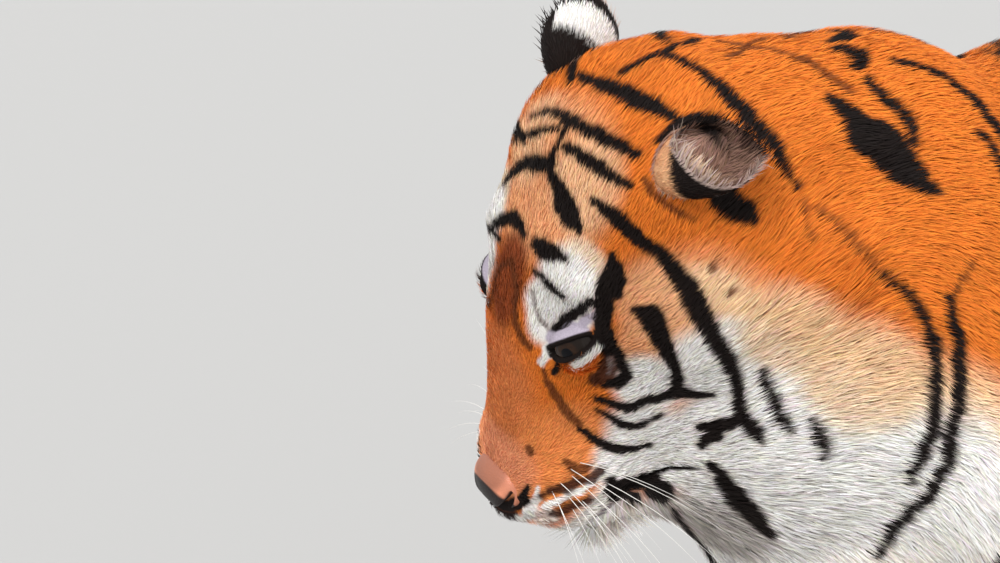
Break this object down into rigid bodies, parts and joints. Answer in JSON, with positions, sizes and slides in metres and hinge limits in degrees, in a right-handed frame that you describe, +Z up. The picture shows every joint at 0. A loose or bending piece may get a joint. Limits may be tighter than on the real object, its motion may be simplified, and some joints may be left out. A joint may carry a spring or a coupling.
{
  "type": "tiger figure",
  "caption": "Life-size adult tiger standing square on its paws with a level neck, a low-hanging head turned slightly left, and a tail that hangs and lifts its tip.",
  "frame": {"origin": "on the floor, below the middle of the bounding box", "axes": "+Z up, the animal faces -Y, its left side is +X"},
  "size_m": [0.4148, 2.0012, 0.952],
  "materials": {
    "orange_coat": "short dense orange fur with black stripes",
    "white_coat": "short dense white fur",
    "ear_back": "short black fur with a white spot",
    "nose_leather": "bare pink skin, slightly moist",
    "eye": "wet and glossy, amber"
  },
  "bodies": {
    "root": {"chest": "orange_coat", "ear_left": "ear_back", "ear_right": "ear_back", "eye_left": "eye", "eye_right": "eye", "foreleg_left": "orange_coat", "foreleg_right": "orange_coat", "forepaw_left": "orange_coat", "forepaw_right": "orange_coat", "head": "orange_coat", "hindpaw_left": "orange_coat", "hindpaw_right": "orange_coat", "jaw": "white_coat", "loin": "orange_coat", "neck": "orange_coat", "nose": "nose_leather", "rump": "orange_coat", "shank_left": "orange_coat", "shank_right": "orange_coat", "tail_1": "orange_coat", "tail_2": "orange_coat", "tail_3": "orange_coat", "tail_4": "orange_coat", "thigh_left": "orange_coat", "thigh_right": "orange_coat"}
  },
  "joints": []
}
